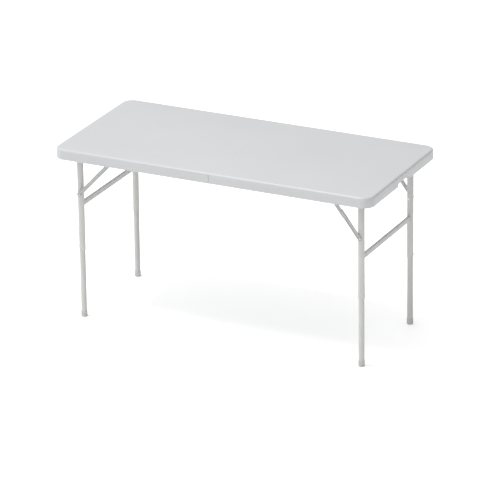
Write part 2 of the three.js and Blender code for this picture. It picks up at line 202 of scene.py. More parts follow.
def combined(mesh, tool, operation):
    """The mesh joined with, or cut by, the tool."""
    body = temporary(mesh)
    other = temporary(tool)
    modifier = body.modifiers.new("combine", "BOOLEAN")
    modifier.operation = operation
    modifier.solver = "MANIFOLD"
    modifier.object = other
    result = evaluated(body)
    for obj in (body, other):
        bpy.data.objects.remove(obj)
    return result


def bevelled(mesh, width):
    """The mesh with its sharper edges rounded."""
    body = temporary(mesh)
    modifier = body.modifiers.new("bevel", "BEVEL")
    modifier.width = width
    modifier.segments = 3
    modifier.limit_method = "ANGLE"
    modifier.angle_limit = math.radians(35)
    result = evaluated(body)
    bpy.data.objects.remove(body)
    return result


def bead(points, radius):
    """A closed weld bead of that radius along a loop of points."""
    curve = bpy.data.curves.new("bead", "CURVE")
    curve.dimensions = "3D"
    curve.bevel_depth = radius
    curve.bevel_resolution = 3
    spline = curve.splines.new("POLY")
    spline.points.add(len(points) - 1)
    for target, point in zip(spline.points, points):
        target.co = (*point, 1)
    spline.use_cyclic_u = True
    obj = temporary(curve)
    mesh = evaluated(obj)
    bpy.data.objects.remove(obj)
    return mesh


# ---------------------------------------------------------------- materials

class Nodes:
    """A small builder for procedural materials in the object's own coordinates."""

    def __init__(self, name):
        self.material = bpy.data.materials.new(name)
        self.material.use_nodes = True
        self.tree = self.material.node_tree
        self.shader = self.tree.nodes["Principled BSDF"]
        self.place = self.tree.nodes.new("ShaderNodeTexCoord").outputs["Object"]

    def link(self, output, socket):
        self.tree.links.new(output, socket)

    def noise(self, scale, detail, roughness=0.5, stretch=None):
        node = self.tree.nodes.new("ShaderNodeTexNoise")
        node.inputs["Scale"].default_value = scale
        node.inputs["Detail"].default_value = detail
        node.inputs["Roughness"].default_value = roughness
        place = self.place
        if stretch:
            mapping = self.tree.nodes.new("ShaderNodeMapping")
            mapping.inputs["Scale"].default_value = stretch
            self.link(place, mapping.inputs["Vector"])
            place = mapping.outputs["Vector"]
        self.link(place, node.inputs["Vector"])
        return node.outputs["Fac"]

    def between(self, factor, first, last, low=0.3, high=0.7):
        node = self.tree.nodes.new("ShaderNodeMapRange")
        node.inputs["From Min"].default_value = low
        node.inputs["From Max"].default_value = high
        node.inputs["To Min"].default_value = first
        node.inputs["To Max"].default_value = last
        self.link(factor, node.inputs["Value"])
        return node.outputs["Result"]

    def mix(self, factor, first, last):
        node = self.tree.nodes.new("ShaderNodeMix")
        node.data_type = "RGBA"
        self.link(factor, node.inputs["Factor"])
        for socket, value in ((node.inputs["A"], first), (node.inputs["B"], last)):
            if isinstance(value, tuple):
                socket.default_value = (*value, 1)
            else:
                self.link(value, socket)
        return node.outputs["Result"]

    def bump(self, height, distance, strength=1.0, under=None):
        node = self.tree.nodes.new("ShaderNodeBump")
        node.inputs["Strength"].default_value = strength
        node.inputs["Distance"].default_value = distance
        self.link(height, node.inputs["Height"])
        if under:
            self.link(under, node.inputs["Normal"])
        return node.outputs["Normal"]

    def finish(self, color, roughness, normal, metallic=0.0, specular=0.5):
        self.link(color, self.shader.inputs["Base Color"])
        self.link(roughness, self.shader.inputs["Roughness"])
        self.link(normal, self.shader.inputs["Normal"])
        self.shader.inputs["Metallic"].default_value = metallic
        self.shader.inputs["Specular IOR Level"].default_value = specular
        return self.material


def moulded_plastic(name, pale, dark, rough):
    """Blow-moulded plastic: a fine pebble grain, faint flow clouding and light scuffs."""
    nodes = Nodes(name)
    clouds = nodes.between(nodes.noise(3.5, 4), 0.0, 1.0)
    color = nodes.mix(clouds, pale, dark)
    scuffs = nodes.between(nodes.noise(60, 5, 0.62, stretch=(1, 3.5, 1)), 0.0, 0.35, 0.62, 0.78)
    scuffed = tuple(min(1, 1.06 * value) for value in pale)
    color = nodes.mix(scuffs, color, scuffed)
    roughness = nodes.between(nodes.noise(140, 4), *rough)
    pebbles = nodes.bump(nodes.noise(1500, 2, 0.4), 0.12 * MM)
    waves = nodes.bump(nodes.noise(9, 2), 0.4 * MM, 0.5, under=pebbles)
    return nodes.finish(color, roughness, waves, specular=0.4)


def powder_coat(name, pale, dark):
    """Powder-coated steel: a slight orange peel, with a little uneven colour."""
    nodes = Nodes(name)
    color = nodes.mix(nodes.between(nodes.noise(24, 5, 0.6), 0.0, 1.0), pale, dark)
    roughness = nodes.between(nodes.noise(220, 3), 0.44, 0.56)
    peel = nodes.bump(nodes.noise(900, 2, 0.4), 0.08 * MM)
    return nodes.finish(color, roughness, peel, specular=0.2)


def zinc_plate(name, pale, dark):
    """Zinc-plated steel: soft spangle and drawn lines."""
    nodes = Nodes(name)
    spangle = nodes.between(nodes.noise(180, 4, 0.6), 0.0, 1.0)
    color = nodes.mix(spangle, pale, dark)
    roughness = nodes.between(nodes.noise(400, 3, 0.5, stretch=(1, 1, 6)), 0.28, 0.46)
    lines = nodes.bump(nodes.noise(1400, 2, 0.5, stretch=(1, 1, 5)), 0.04 * MM)
    return nodes.finish(color, roughness, lines, metallic=0.85)


SHARP_ANGLE = 38  # degrees; a crease at least this sharp isn't shaded smooth
LOOKS = {
    "top": moulded_plastic(
        "pale_moulded_plastic", (0.472, 0.480, 0.486), (0.456, 0.464, 0.470), rough=(0.3, 0.38),
    ),
    "leg_paint": powder_coat("grey_powder_coat", (0.512, 0.517, 0.502), (0.478, 0.483, 0.47)),
    "rail_paint": powder_coat("rail_powder_coat", (0.53, 0.535, 0.525), (0.49, 0.495, 0.485)),
    "brace_paint": powder_coat("brace_powder_coat", (0.47, 0.475, 0.47), (0.42, 0.425, 0.425)),
    "zinc": zinc_plate("zinc_plate", (0.6, 0.61, 0.62), (0.47, 0.48, 0.49)),
    "plastic": moulded_plastic("bush_plastic", (0.5, 0.51, 0.5), (0.45, 0.46, 0.455), rough=(0.5, 0.62)),
    "foot_plastic": moulded_plastic(
        "foot_plastic", (0.47, 0.475, 0.465), (0.41, 0.415, 0.41), rough=(0.55, 0.7),
    ),
}


def piece(name, mesh, body, slot, *stands_for):
    """Puts a piece in the scene, on its CAD body and in place of the CAD nodes it stands for."""
    mesh.materials.clear()
    mesh.materials.append(LOOKS[slot])
    mesh.shade_smooth()
    mesh.set_sharp_from_angle(angle=math.radians(SHARP_ANGLE))
    obj = bpy.data.objects.new(name, mesh)
    bpy.context.scene.collection.objects.link(obj)
    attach(obj, body)
    if stands_for:
        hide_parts(*stands_for)


# ---------------------------------------------------------------- top halves

def outline_loop(inset, z):
    """The table's rounded outline, drawn inwards by an inset, at a height."""
    x = HALF_LENGTH - inset
    y = HALF_WIDTH - inset
    return [(px, py, z) for px, py in rounded_rectangle(-x, x, -y, y, CORNER_RADIUS - inset, steps=12)]


def slab_mesh():
    """The whole top as a block: rounded lower edge, upright skirt, rounder upper edge."""
    lower = 4 * MM
    upper = 9.5 * MM
    section = [(lower + r, RIM_BOTTOM + lower + h) for r, h in arc(0, 0, lower, 270, 180, 5)]
    section += [(upper + r, TOP - upper + h) for r, h in arc(0, 0, upper, 180, 90, 8)]
    return loft([outline_loop(inset, z) for inset, z in section])


def hollow_mesh():
    """The space under the deck, with a rounded mouth and a fillet under the deck."""
    mouth = 4 * MM
    fillet = 3 * MM
    draft = 1.5 * MM
    section = [(RIM_WALL - mouth, RIM_BOTTOM - mouth)]
    section += [(RIM_WALL - mouth + r, RIM_BOTTOM + mouth + h) for r, h in arc(0, 0, mouth, -90, 0, 5)]
    inner = RIM_WALL + draft
    section += [(inner + fillet + r, DECK_BOTTOM - fillet + h) for r, h in arc(0, 0, fillet, 180, 90, 4)]
    return loft([outline_loop(inset, z) for inset, z in section])


def seam_wall_mesh():
    """What the hollow leaves standing along the seam."""
    return box_mesh(
        Vector((-SEAM_WALL, -SEAM_WALL_HALF_WIDTH, DECK_BOTTOM - SEAM_WALL)),
        Vector((SEAM_WALL, SEAM_WALL_HALF_WIDTH, DECK_BOTTOM + 5 * MM)),
    )


def slot_tool(length, width, at, along=X, depth=5 * MM):
    """A moulded dimple: a slot with round ends and a softened edge, sunk upwards from a point."""
    radius = width / 2
    section = [
        (radius + 1.1 * MM, -1 * MM),
        (radius + 0.9 * MM, 0),
        (radius + 0.25 * MM, 0.7 * MM),
        (radius - 0.1 * MM, depth - 1.2 * MM),
        (radius - 0.9 * MM, depth),
    ]
    sideways = Z.cross(along)
    loops = []
    for spread, rise in section:
        outline = stadium(length - width, spread, steps=5)
        start = at - along * (length - width) / 2 + Z * rise
        loops.append([start + along * u + sideways * v for u, v in outline])
    return loft(loops)


def both_sides(lines):
    """Lines drawn on the rear side of the middle, and their mirror images on the front side."""
    return lines + [[(x, -y) for x, y in line] for line in lines]


MIDDLE_RIB = [(40 * MM, 0), (523 * MM, 0)]
DIAGONAL_RIB = [(50 * MM, 157 * MM), (452 * MM, 15 * MM)]
INNER_RIDGE = [(62 * MM, 190 * MM), (227 * MM, 190 * MM)]
OUTER_RIDGE = [(227 * MM, 190 * MM), (337 * MM, 92 * MM)]
SHORT_RIDGE = [(386 * MM, 78 * MM), (448 * MM, 20 * MM)]
BROAD_RIBS = [MIDDLE_RIB] + both_sides([DIAGONAL_RIB])
NARROW_RIDGES = both_sides([INNER_RIDGE, OUTER_RIDGE, SHORT_RIDGE])
BROAD = 17 * MM
BROAD_DEPTH = 5 * MM
NARROW = 5 * MM
NARROW_DEPTH = 2.5 * MM
DIMPLE_WIDTH = 4.6 * MM
RIM_DIMPLE_WIDTH = 4.4 * MM
RIM_DIMPLE_DEPTH = 6 * MM


def rib_mesh(line, width, depth):
    """A moulded rib with round ends and sloping sides, under the deck."""
    start, finish = (Vector((x, y, DECK_BOTTOM)) for x, y in line)
    along = (finish - start).normalized()
    sideways = Z.cross(along)
    radius = width / 2
    section = [
        (radius, 1 * MM), (radius, 0), (radius - 0.6 * depth, -0.8 * depth), (radius - 0.8 * depth, -depth),
    ]
    loops = []
    for spread, rise in section:
        outline = stadium((finish - start).length, spread, steps=6)
        loops.append([start + Z * rise + along * u + sideways * v for u, v in outline])
    return loft(loops)


def distance_to(line, x, y):
    """How far a point is from a line between two points."""
    (x0, y0), (x1, y1) = line
    along = Vector((x1 - x0, y1 - y0))
    place = Vector((x - x0, y - y0))
    part = min(1, max(0, place.dot(along) / along.length_squared))
    return (place - along * part).length


def is_clear(x, y):
    """Whether a dimple there stays clear of the ribs and of the smooth band outside the ridges."""
    if any(distance_to(rib, x, y) < BROAD / 2 + 6 * MM for rib in BROAD_RIBS):
        return False
    outside = 12 * MM
    return all(distance_to(ridge, x, y) > outside for ridge in NARROW_RIDGES)


def deck_dimples():
    """The staggered dashes over the underside of the deck, with dots near the leg pivot."""
    pitch = 43 * MM
    row_pitch = 25.7 * MM
    rows = 7
    tools = []
    for row in range(-rows, rows + 1):
        x = SEAM_WALL + 20 * MM + (pitch / 2 if row % 2 else 0)
        while x < PIVOT.x - 16 * MM:
            is_dot = x > PIVOT.x - 60 * MM
            length = 7 * MM if is_dot else 21 * MM
            if is_clear(x, row * row_pitch):
                tools.append(slot_tool(length, DIMPLE_WIDTH, Vector((x, row * row_pitch, DECK_BOTTOM))))
            x += pitch
    return tools


def end_dimples():
    """The two narrow columns between the leg pivot and the end rim."""
    step = 26.4 * MM
    count = 8
    tools = []
    for i in range(-count, count + 1):
        y = i * step
        dots = Vector((PIVOT.x + 17 * MM, y, DECK_BOTTOM))
        tools.append(slot_tool(7 * MM, 5 * MM, dots))
        upright = Vector((HALF_LENGTH - RIM_WALL - 15 * MM, y, DECK_BOTTOM))
        tools.append(slot_tool(14 * MM, DIMPLE_WIDTH, upright, along=Y))
        level = upright + Y * step / 2
        tools.append(slot_tool(14 * MM, DIMPLE_WIDTH, level))
    return tools


def rim_dimples(with_end):
    """The dashes along the underside of the rim."""
    pitch = 65 * MM
    y = HALF_WIDTH - RIM_WALL / 2
    tools = []
    for i in range(9):
        x = 52 * MM + i * pitch
        for side in (-1, 1):
            at = Vector((x, side * y, RIM_BOTTOM))
            tools.append(slot_tool(26 * MM, RIM_DIMPLE_WIDTH, at, depth=RIM_DIMPLE_DEPTH))
    if with_end:
        x = HALF_LENGTH - RIM_WALL / 2
        for i in range(-4, 5):
            at = Vector((x, i * 52 * MM, RIM_BOTTOM))
            tools.append(slot_tool(24 * MM, RIM_DIMPLE_WIDTH, at, along=Y, depth=RIM_DIMPLE_DEPTH))
    return tools


def seam_slots():
    """The row of slots in the low wall along the seam."""
    step = 31 * MM
    z = DECK_BOTTOM - SEAM_WALL
    x = SEAM_WALL / 2
    places = [Vector((x, i * step, z)) for i in range(-7, 8)]
    return [slot_tool(20 * MM, 8 * MM, place, along=Y, depth=14 * MM) for place in places]


def grip_tool():
    """The hand grip: a notch in the lower edge of the end rim, with softened edges."""
    half = 53 * MM
    depth = 14 * MM
    soft = 2 * MM
    section = [(-RIM_WALL - 4 * MM, soft), (-RIM_WALL, soft), (-RIM_WALL + soft, 0)]
    section += [(-soft, 0), (0, soft), (4 * MM, soft)]
    loops = []
    for dx, grow in section:
        outline = rounded_rectangle(
            -half - grow, half + grow, RIM_BOTTOM - 20 * MM, RIM_BOTTOM + depth + grow, 9 * MM + grow,
        )
        loops.append([(HALF_LENGTH + dx, y, z) for y, z in outline])
    return loft(loops)


def seam_groove(side):
    """What rounds off the skirt's upright edge where the halves meet."""
    wide = 1.3 * MM
    deep = 2.2 * MM
    face = HALF_WIDTH + 0.4 * MM
    corners = [(-1 * MM, face), (-1 * MM, face - deep), (0, face - deep), (0.3 * wide, face - 0.5 * deep)]
    corners += [(wide, face - 0.2 * deep), (wide, face)]
    heights = (RIM_BOTTOM - 1 * MM, TOP - 6 * MM)
    return loft([[(x, side * y, z) for x, y in corners] for z in heights])


def half_panel(turn, has_grip):
    """One half of the top, drawn as the right-hand half and turned into place."""
    body = slab_mesh()
    hollow = combined(hollow_mesh(), seam_wall_mesh(), "DIFFERENCE")
    body = combined(body, hollow, "DIFFERENCE")
    seam = 0.1 * MM
    far = 2 * HALF_LENGTH
    keep = box_mesh(Vector((seam, -far, -far)), Vector((far, far, far)))
    body = combined(body, keep, "INTERSECT")
    for rib in BROAD_RIBS:
        body = combined(body, rib_mesh(rib, BROAD, BROAD_DEPTH), "UNION")
    for ridge in NARROW_RIDGES:
        body = combined(body, rib_mesh(ridge, NARROW, NARROW_DEPTH), "UNION")
    tools = deck_dimples() + end_dimples() + rim_dimples(not has_grip) + seam_slots()
    tools += [seam_groove(side) for side in (-1, 1)]
    body = combined(body, joined(tools), "DIFFERENCE")
    if has_grip:
        body = combined(body, grip_tool(), "DIFFERENCE")
    body.transform(turn)
    return body


for end, sign in ENDS:
    turned_end = Matrix.Rotation(math.pi if sign < 0 else 0, 4, "Z")
    panel = half_panel(turned_end, sign > 0)
    piece(f"{end}_top_panel", panel, f"{end}_half", "top", f"{end}_top")


# ---------------------------------------------------------------- rails, bushes and hinges

RAIL_CORNER = 3 * MM
RAIL_WALL = 1.5 * MM
SCREW_PLACES = (90 * MM, 330 * MM, 540 * MM)
RIVET_PLACES = (42 * MM, 60 * MM)
RIVET_RADIUS = 4.2 * MM
BUSH_FLANGE = 3.3 * MM
HINGE_PIN_RADIUS = 5 * MM


def tube_along_x(node, radius, wall):
    """A rounded rectangular tube that fills a node's box, with softened ends."""
    lo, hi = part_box(node)
    centre = (lo + hi) / 2
    half_y = (hi.y - lo.y) / 2
    half_z = (hi.z - lo.z) / 2
    soft = 0.6 * MM
    section = [(lo.x, -soft), (lo.x + soft, 0), (hi.x - soft, 0), (hi.x, -soft)]
    section += [(hi.x, -wall + soft), (hi.x - soft, -wall), (lo.x + soft, -wall), (lo.x, -wall + soft)]
    loops = []
    for x, grow in section:
        outline = rounded_rectangle(
            -half_y - grow, half_y + grow, -half_z - grow, half_z + grow, radius + grow, steps=5,
        )
        loops.append([(x, centre.y + y, centre.z + z) for y, z in outline])
    return loft(loops, closed=True)


def screw_mesh(at):
    """A pan-head screw with a cross recess, its head pointing down."""
    radius = 5 * MM
    height = 2.2 * MM
    head = turned([(radius, -0.6 * MM)] + dome(radius, height), at, axis=-Z, sides=32)
    arm = 2.8 * MM
    thick = 0.55 * MM
    for along in (X, Y):
        across = Z.cross(along)
        reach = along * arm + across * thick
        lowest = Vector((-abs(reach.x), -abs(reach.y), -height - 1 * MM))
        highest = Vector((abs(reach.x), abs(reach.y), -height + 1 * MM))
        head = combined(head, box_mesh(at + lowest, at + highest), "DIFFERENCE")
    return head


def rail_pieces(end, sign, place):
    """A side rail, and the screws that hold it to the top."""
    node = f"{end}_{place}_rail"
    tube = tube_along_x(node, RAIL_CORNER, RAIL_WALL)
    piece(f"{node}_tube", tube, f"{end}_half", "rail_paint", node)
    rail = middle(node)
    screws = []
    for x in SCREW_PLACES:
        screws.append(screw_mesh(Vector((sign * x, rail.y, low(node).z))))
    piece(f"{node}_screws", joined(screws), f"{end}_half", "zinc")


def bush_piece(end, place, side):
    """The flanged bush that the pivot tube turns in."""
    node = f"{end}_{place}_pivot_bush"
    lo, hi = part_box(node)
    centre = (lo + hi) / 2
    flange = (hi.z - lo.z) / 2
    length = hi.y - lo.y
    bore = (high(f"{end}_pivot_tube").z - low(f"{end}_pivot_tube").z) / 2 + 0.2 * MM
    soft = 0.7 * MM
    start = -length / 2
    profile = [
        (bore, start + soft), (bore + soft, start), (flange - soft, start), (flange, start + soft),
        (flange, start + BUSH_FLANGE - soft), (flange - soft, start + BUSH_FLANGE),
        (flange - 3 * MM, start + BUSH_FLANGE), (flange - 3 * MM, -start), (bore, -start),
    ]
    mesh = turned(profile, centre, axis=Y * side, closed=True)
    piece(f"{node}_ring", mesh, f"{end}_half", "plastic", node)


def hinge_pieces(end, sign, place, side):
    """A cranked strap with a rounded eye, in the CAD outline with softer edges, and its rivets."""
    node = f"{end}_{place}_hinge_plate"
    mesh = frame["nodes"][node].data.copy()
    bm = bmesh.new()
    bm.from_mesh(mesh)
    bmesh.ops.remove_doubles(bm, verts=bm.verts, dist=1e-6)
    bmesh.ops.dissolve_limit(bm, angle_limit=math.radians(1), verts=bm.verts, edges=bm.edges)
    mesh = mesh_of(bm)
    piece(f"{node}_strap", bevelled(mesh, 0.7 * MM), f"{end}_half", "zinc", node)
    heads = []
    lo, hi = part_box(node)
    face = lo.y if side > 0 else hi.y
    for x in RIVET_PLACES:
        at = Vector((sign * x, face, (lo.z + hi.z) / 2 + 12 * MM))
        profile = [(RIVET_RADIUS, -0.4 * MM)] + dome(RIVET_RADIUS, 1.8 * MM)
        heads.append(turned(profile, at, axis=-Y * side, sides=28))
    piece(f"{node}_rivets", joined(heads), f"{end}_half", "zinc")


def headed_pin(node, heads, shank):
    """A pin along Y with a domed head at each end."""
    lo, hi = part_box(node)
    centre = (lo + hi) / 2
    reach = (hi.y - lo.y) / 2
    thick = 2.6 * MM
    upper = [
        (shank, reach - thick), (heads, reach - thick), (heads, reach - 0.5 * thick),
        (0.8 * heads, reach - 0.15 * thick), (0.5 * heads, reach),
    ]
    profile = [(radius, -height) for radius, height in reversed(upper)] + upper
    return turned(profile, centre, axis=Y, sides=40)


for place, side in SIDES:
    node = f"{place}_hinge_pin"
    head = (high(node).z - low(node).z) / 2
    piece(f"{node}_turned", headed_pin(node, head, HINGE_PIN_RADIUS), "left_half", "zinc", node)
    for end, sign in ENDS:
        rail_pieces(end, sign, place)
        bush_piece(end, place, side)
        hinge_pieces(end, sign, place, side)


# ---------------------------------------------------------------- leg frames

LEG_WALL = 1.1 * MM
PIVOT_TUBE_WALL = 1.5 * MM
PIVOT_WELD_RADIUS = 8 * MM
PIVOT_BEAD = 1.2 * MM
CROSSBAR_CORNER = 4.5 * MM
CROSSBAR_WELD_CORNER = 4.8 * MM
CROSSBAR_BEAD = 1.1 * MM


def pivot_tube_mesh(node):
    """The tube across the top of a leg frame, with softened ends."""
    lo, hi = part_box(node)
    centre = (lo + hi) / 2
    radius = (hi.z - lo.z) / 2
    reach = (hi.y - lo.y) / 2
    bore = radius - PIVOT_TUBE_WALL
    soft = 0.5 * MM
    profile = [
        (bore, -reach + soft), (radius - soft, -reach), (radius, -reach + soft),
        (radius, reach - soft), (radius - soft, reach), (bore, reach - soft),
    ]
    return turned(profile, centre, axis=Y, closed=True)


def upper_leg_mesh(node):
    """The upper tube: it closes in a crown just above the pivot tube, and its lower lip is rounded."""
    lo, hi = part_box(node)
    centre = (lo + hi) / 2
    radius = (hi.x - lo.x) / 2
    bore = radius - LEG_WALL
    bottom = lo.z
    top = PIVOT.z + 8.5 * MM
    crown = 3 * MM
    profile = [
        (bore, top - 2 * crown), (bore, bottom + 1 * MM), (bore + 0.2 * MM, bottom + 0.2 * MM),
        (bore + 0.6 * MM, bottom), (radius - 0.3 * MM, bottom + 0.1 * MM), (radius, bottom + 0.6 * MM),
    ]
    profile += [(radius - crown + r, top - crown + h) for r, h in arc(0, 0, crown, 0, 80, 5)]
    return turned(profile, Vector((centre.x, centre.y, 0)))


def lower_leg_mesh(node):
    """The lower tube, open at both ends."""
    lo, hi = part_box(node)
    centre = (lo + hi) / 2
    radius = (hi.x - lo.x) / 2
    bore = radius - LEG_WALL
    profile = [
        (bore, lo.z), (radius, lo.z), (radius, hi.z - 0.5 * MM), (radius - 0.4 * MM, hi.z), (bore, hi.z),
    ]
    return turned(profile, Vector((centre.x, centre.y, 0)), closed=True)


def foot_mesh(node):
    """A moulded foot cap: a softened sole, a grip ring low down and a softened mouth."""
    lo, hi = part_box(node)
    centre = (lo + hi) / 2
    radius = (hi.x - lo.x) / 2
    bore = radius - 1.6 * MM
    height = hi.z - lo.z
    profile = [
        (0.55 * radius, 0.8 * MM), (0.62 * radius, 0), (radius - 1.6 * MM, 0),
        (radius - 0.5 * MM, 0.5 * MM), (radius, 1.6 * MM),
        (radius, 5.5 * MM), (radius - 0.5 * MM, 6.2 * MM),
        (radius - 0.5 * MM, 7.2 * MM), (radius, 7.9 * MM),
        (radius - 0.2 * MM, height - 1.2 * MM), (radius - 0.5 * MM, height - 0.4 * MM),
        (radius - 1 * MM, height), (bore, height - 0.3 * MM), (bore, 3.2 * MM),
    ]
    return turned(profile, Vector((centre.x, centre.y, lo.z)))


def button_mesh(node, sign):
    """A snap button: a short stem with a round end that points outwards."""
    lo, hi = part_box(node)
    centre = (lo + hi) / 2
    radius = (hi.z - lo.z) / 2
    length = hi.x - lo.x
    profile = [(radius - 0.2 * MM, -length / 2), (radius, -length / 2 + 0.2 * MM)]
    profile += [(r, length / 2 - radius + h) for r, h in dome(radius, radius)]
    return turned(profile, centre, axis=X * sign, sides=32)


def crossbar_mesh(node):
    """A flattened tube across the frame. Its ends are cut to the legs' round walls."""
    lo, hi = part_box(node)
    centre = (lo + hi) / 2
    half_x = (hi.x - lo.x) / 2
    half_z = (hi.z - lo.z) / 2
    inside_wall = LEG_RADIUS - 0.2 * MM
    section = [
        (x, z, LEG_Y - math.sqrt(inside_wall**2 - x**2))
        for x, z in rounded_rectangle(-half_x, half_x, -half_z, half_z, CROSSBAR_CORNER, steps=6)
    ]
    return loft([
        [(centre.x + x, share * reach, centre.z + z) for x, z, reach in section]
        for share in (-1, -0.5, 0, 0.5, 1)
    ])


def crossbar_welds(node):
    """A bead round each end of the crossbar, on the leg tube's round wall."""
    lo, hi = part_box(node)
    centre = (lo + hi) / 2
    half_x = (hi.x - lo.x) / 2 + 0.3 * MM
    half_z = (hi.z - lo.z) / 2 + 0.3 * MM
    beads = []
    for side in (-1, 1):
        points = []
        for x, z in rounded_rectangle(-half_x, half_x, -half_z, half_z, CROSSBAR_WELD_CORNER, steps=6):
            reach = LEG_Y - math.sqrt(LEG_RADIUS**2 - x**2)
            ripple = 0.2 * MM * math.sin(z / MM * 2.4 + x / MM * 2.1)
            points.append(Vector((centre.x + x, side * (reach - 0.4 * MM + ripple), centre.z + z)))
        beads.append(bead(points, CROSSBAR_BEAD))
    return joined(beads)


def pivot_welds(end):
    """A bead where the pivot tube enters each leg."""
    beads = []
    radius = PIVOT_WELD_RADIUS
    centre = middle(f"{end}_pivot_tube")
    for side in (-1, 1):
        for face in (-1, 1):
            points = []
            for i in range(40):
                angle = 2 * math.pi * i / 40
                x = radius * math.cos(angle)
                reach = side * LEG_Y + face * math.sqrt(LEG_RADIUS**2 - x**2)
                points.append(Vector((centre.x + x, reach, centre.z + radius * math.sin(angle))))
            beads.append(bead(points, PIVOT_BEAD))
    return joined(beads)


for end, sign in ENDS:
    body = f"{end}_leg_frame"
    tube = f"{end}_pivot_tube"
    piece(f"{tube}_round", pivot_tube_mesh(tube), body, "leg_paint", tube)
    piece(f"{end}_pivot_welds", pivot_welds(end), body, "leg_paint")
    piece(f"{end}_crossbar_tube", crossbar_mesh(f"{end}_crossbar"), body, "leg_paint", f"{end}_crossbar")
    piece(f"{end}_crossbar_welds", crossbar_welds(f"{end}_crossbar"), body, "leg_paint")
    for place, _ in SIDES:
        leg = f"{end}_{place}"
        upper = upper_leg_mesh(f"{leg}_upper_leg")
        piece(f"{leg}_upper_tube", upper, body, "leg_paint", f"{leg}_upper_leg")
        lower = lower_leg_mesh(f"{leg}_lower_leg")
        piece(f"{leg}_lower_tube", lower, f"{leg}_extension", "leg_paint", f"{leg}_lower_leg")
        foot = foot_mesh(f"{leg}_foot_cap")
        piece(f"{leg}_foot", foot, f"{leg}_extension", "foot_plastic", f"{leg}_foot_cap")
        button = button_mesh(f"{leg}_snap_button", sign)
        piece(f"{leg}_button_dome", button, f"{leg}_button", "zinc", f"{leg}_snap_button")


# ---------------------------------------------------------------- braces

LINK_WALL = 1.5 * MM
LINK_TAIL = 25 * MM
LEG_LINK_RADIUS = 8.2 * MM
RAIL_LINK_RADIUS = 8.6 * MM
HEAD = 5.3 * MM
SHANK = 3 * MM


def axis_of(node):
    """Where a pin's axis crosses the plane in the middle of the table."""
    centre = middle(node)
    return Vector((centre.x, 0, centre.z))


def faces_of(node):
    """How far a node's nearer and farther sides are from the middle of the table."""
    near, far = sorted((abs(low(node).y), abs(high(node).y)))
    return near, far


def link_mesh(start, towards, length, section, side):
    """A link of round-ended loops: (radius, depth) pairs along Y from a start point."""
    along = (towards - start).normalized()
    across = along.cross(Y)
    loops = []
    for radius, y in section:
        loops.append([
            start + along * u + across * v + Y * side * y
            for u, v in stadium(length, radius, steps=14)
        ])
    return loft(loops)


def leg_link_piece(leg, side):
    """A pressed channel with rolled lips, open outwards."""
    near, far = faces_of(f"{leg}_leg_link")
    start = axis_of(f"{leg}_leg_bolt")
    knee = axis_of(f"{leg}_knee_rivet")
    radius = LEG_LINK_RADIUS
    soft = 1.3 * MM
    section = [(radius - soft + r, near + soft - h) for r, h in arc(0, 0, soft, 90, 0, 4)]
    lip = LINK_WALL / 2
    section += [(radius - lip + r, far - lip + h) for r, h in arc(0, 0, lip, 0, 180, 6)]
    inner = radius - LINK_WALL
    web = near + LINK_WALL
    section += [(inner, web + 0.4 * MM), (inner - 0.1 * MM, web + 0.1 * MM), (inner - 0.4 * MM, web)]
    mesh = link_mesh(start, knee, (knee - start).length, section, side)
    piece(f"{leg}_leg_link_channel", mesh, f"{leg}_leg_brace", "brace_paint", f"{leg}_leg_link")


def rail_link_piece(leg, side):
    """A flat bar with a rounded edge and a shallow pressed panel."""
    near, far = faces_of(f"{leg}_rail_link")
    start = axis_of(f"{leg}_rail_pin")
    knee = axis_of(f"{leg}_knee_rivet")
    radius = RAIL_LINK_RADIUS
    soft = 0.8 * MM
    rim = 1.8 * MM
    section = [(radius - soft, near), (radius, near + soft), (radius, far - soft), (radius - soft, far)]
    section += [(radius - rim, far), (radius - rim - 0.7 * MM, far - 0.6 * MM)]
    mesh = link_mesh(start, knee, (knee - start).length + LINK_TAIL, section, side)
    piece(f"{leg}_rail_link_bar", mesh, f"{leg}_rail_brace", "brace_paint", f"{leg}_rail_link")


def pin_mesh(node, side, steps, sides=36):
    """A pin along Y from (radius, distance from the middle of the table) pairs."""
    return turned(steps, axis_of(node), axis=Y * side, sides=sides)


def brace_fasteners(end, leg, side):
    """The bolt through the leg, the pin and spacer at the rail, and the rivet at the knee."""
    seat = faces_of(f"{leg}_leg_link")[0] + LINK_WALL
    near, far = faces_of(f"{leg}_rail_link")
    nut = LEG_Y - LEG_RADIUS

    bolt = f"{leg}_leg_bolt"
    shank = [
        (SHANK, nut), (SHANK, seat), (HEAD, seat), (HEAD, seat + 0.8 * MM), (0.92 * HEAD, seat + 1.5 * MM),
        (0.7 * HEAD, seat + 2.1 * MM), (0.4 * HEAD, seat + 2.4 * MM),
    ]
    hexagon = [(0.9 * HEAD, nut - 2.4 * MM), (HEAD, nut - 1.9 * MM), (HEAD, nut + 0.5 * MM)]
    mesh = joined([pin_mesh(bolt, side, shank), pin_mesh(bolt, side, hexagon, sides=6)])
    piece(f"{bolt}_turned", mesh, f"{end}_leg_frame", "zinc", bolt)

    pin = f"{leg}_rail_pin"
    spacer = [
        (SHANK, near), (SHANK, far), (HEAD - 0.6 * MM, far), (HEAD, far + 0.6 * MM),
        (HEAD, RAIL_FACE - 0.6 * MM), (HEAD - 0.6 * MM, RAIL_FACE), (SHANK, RAIL_FACE),
        (SHANK, RAIL_FACE + 2 * MM),
    ]
    piece(f"{pin}_turned", pin_mesh(pin, side, spacer), f"{end}_half", "zinc", pin)

    rivet = f"{leg}_knee_rivet"
    headed = [
        (SHANK, near), (SHANK, far), (HEAD, far), (HEAD, far + 0.4 * MM), (0.94 * HEAD, far + 0.9 * MM),
        (0.8 * HEAD, far + 1.4 * MM), (0.5 * HEAD, far + 1.9 * MM),
    ]
    piece(f"{rivet}_turned", pin_mesh(rivet, side, headed), f"{leg}_rail_brace", "brace_paint", rivet)


